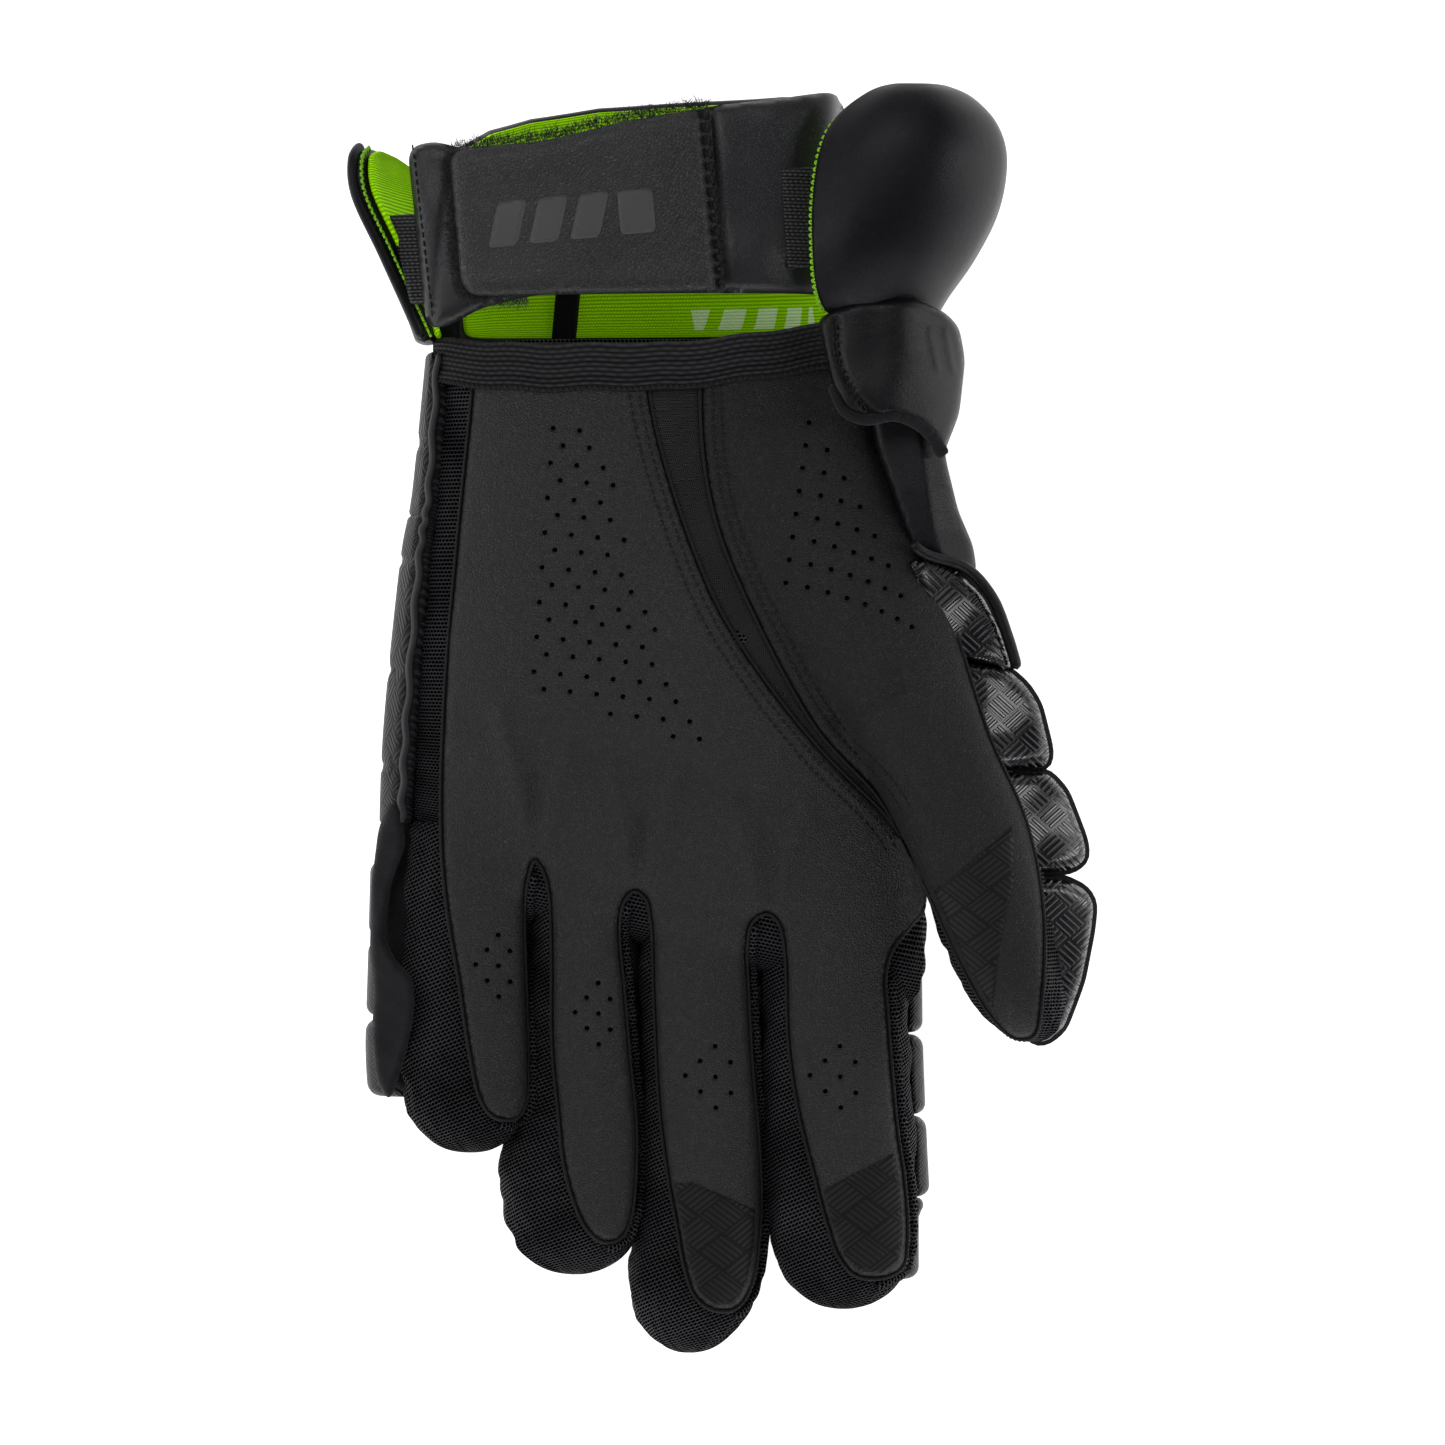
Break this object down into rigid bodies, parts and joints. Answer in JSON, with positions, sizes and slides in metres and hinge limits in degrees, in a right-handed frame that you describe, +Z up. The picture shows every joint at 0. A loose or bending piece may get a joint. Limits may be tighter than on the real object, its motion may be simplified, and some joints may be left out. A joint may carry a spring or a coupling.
{
  "type": "lacrosse glove",
  "caption": "Left-hand padded lacrosse glove lying on its back, with leather palm, mesh finger sleeves, segmented foam pads, flared cuff and wrist strap.",
  "frame": {"origin": "on the surface the glove lies on, under the middle of its outline", "axes": "+X to the thumb side, +Y from the fingertips to the wrist and cuff, +Z up out of the palm"},
  "size_m": [0.1926, 0.3281, 0.0774],
  "materials": {
    "mesh": "black knitted mesh",
    "leather": "matte grained synthetic leather",
    "embossed": "embossed polyurethane film over foam, satin",
    "coated": "smooth polyurethane film over foam",
    "suede": "brushed microsuede",
    "webbing": "knitted elastic and binding tape",
    "lining": "ribbed lime green lining cloth"
  },
  "bodies": {
    "root": {"bag_palm_side": "mesh", "bag_back_side": "mesh", "bag_thumb_heel": "mesh", "little_sleeve": "mesh", "ring_sleeve": "mesh", "middle_sleeve": "mesh", "index_sleeve": "mesh", "thumb_sleeve": "mesh", "palm_leather": "leather", "thumb_leather": "leather", "stretch_slot": "mesh", "side_roll": "embossed", "little_side_flap": "suede", "little_pad_1": "embossed", "little_pad_2": "embossed", "little_pad_3": "embossed", "ring_pad_1": "embossed", "ring_pad_2": "embossed", "ring_pad_3": "embossed", "ring_pad_4": "embossed", "middle_pad_1": "embossed", "middle_pad_2": "embossed", "middle_pad_3": "embossed", "middle_pad_4": "embossed", "index_pad_1": "embossed", "index_pad_2": "embossed", "index_pad_3": "embossed", "index_pad_4": "embossed", "back_pad_1": "embossed", "back_pad_2": "embossed", "back_pad_3": "embossed", "back_pad_4": "embossed", "back_pad_5": "embossed", "back_pad_6": "embossed", "back_pad_7": "embossed", "thumb_pad_1": "embossed", "thumb_pad_2": "embossed", "thumb_pad_3": "embossed", "thumb_pad_4": "embossed", "thumb_plate": "coated", "thumb_collar": "coated", "cuff_back": "coated", "cuff_lining": "lining", "wrist_binding": "webbing", "wrist_strap": "coated", "strap_tab": "coated", "thumb_guard": "coated", "thumb_guard_lining": "lining", "little_guard": "coated", "little_guard_lining": "lining", "elastic_little_side": "webbing", "elastic_thumb_side": "webbing"}
  },
  "joints": []
}
